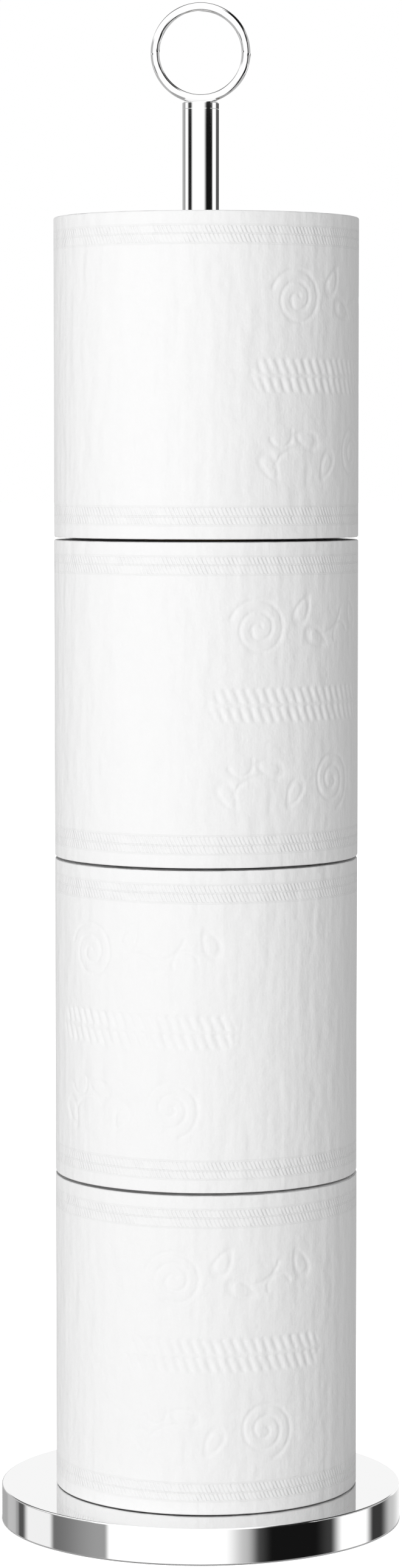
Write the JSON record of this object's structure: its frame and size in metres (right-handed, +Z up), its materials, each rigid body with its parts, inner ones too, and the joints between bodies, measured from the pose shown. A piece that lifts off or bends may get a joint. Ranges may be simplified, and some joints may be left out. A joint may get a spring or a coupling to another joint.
{
  "type": "toilet roll storage holder",
  "caption": "Free-standing toilet roll storage holder: a pole on a weighted round base keeps spare rolls in a stack, and a ring on top lifts it.",
  "frame": {"origin": "middle of the underside, on the floor that the pad stands on", "axes": "+Z up along the pole; -Y is the front, which the ring handle faces; +X to the right seen from the front"},
  "size_m": [0.128, 0.128, 0.4829],
  "materials": {
    "chrome_plate": "polished",
    "plated_steel": "satin",
    "weight_iron": "matte",
    "pad_rubber": "matte",
    "tissue": "matte",
    "core_board": "matte"
  },
  "bodies": {
    "stand": {"base_pad": "pad_rubber", "base_weight": "weight_iron", "base_cover": "chrome_plate", "base_screw": "plated_steel", "lock_washer": "plated_steel", "flat_washer": "plated_steel", "foot_insert": "plated_steel", "pole_lower": "chrome_plate", "joint_socket": "plated_steel", "joint_stud": "plated_steel", "pole_upper": "chrome_plate", "top_cap": "chrome_plate", "ring_handle": "chrome_plate"},
    "roll_1_core": {"roll_1_core": "core_board"},
    "roll_1_paper": {"roll_1_paper": "tissue"},
    "roll_2_core": {"roll_2_core": "core_board"},
    "roll_2_paper": {"roll_2_paper": "tissue"},
    "roll_3_core": {"roll_3_core": "core_board"},
    "roll_3_paper": {"roll_3_paper": "tissue"},
    "roll_4_core": {"roll_4_core": "core_board"},
    "roll_4_paper": {"roll_4_paper": "tissue"}
  },
  "joints": [
    {"name": "roll_1_lift", "type": "slide", "parent": "stand", "child": "roll_1_core", "axis": [0, 0, 1], "range_m": [0, 0.47625]},
    {"name": "roll_1_turn", "type": "hinge", "parent": "roll_1_core", "child": "roll_1_paper", "pos_m": [0.0017, 0, 0.06218], "axis": [0, 0, 1], "continuous": true},
    {"name": "roll_2_lift", "type": "slide", "parent": "roll_1_core", "child": "roll_2_core", "axis": [0, 0, 1], "range_m": [0, 0.3752]},
    {"name": "roll_2_turn", "type": "hinge", "parent": "roll_2_core", "child": "roll_2_paper", "pos_m": [0.0017, 0, 0.16323], "axis": [0, 0, 1], "continuous": true},
    {"name": "roll_3_lift", "type": "slide", "parent": "roll_2_core", "child": "roll_3_core", "axis": [0, 0, 1], "range_m": [0, 0.27415]},
    {"name": "roll_3_turn", "type": "hinge", "parent": "roll_3_core", "child": "roll_3_paper", "pos_m": [0.0017, 0, 0.26427], "axis": [0, 0, 1], "continuous": true},
    {"name": "roll_4_lift", "type": "slide", "parent": "roll_3_core", "child": "roll_4_core", "axis": [0, 0, 1], "range_m": [0, 0.1731]},
    {"name": "roll_4_turn", "type": "hinge", "parent": "roll_4_core", "child": "roll_4_paper", "pos_m": [0.0017, 0, 0.36533], "axis": [0, 0, 1], "continuous": true}
  ]
}
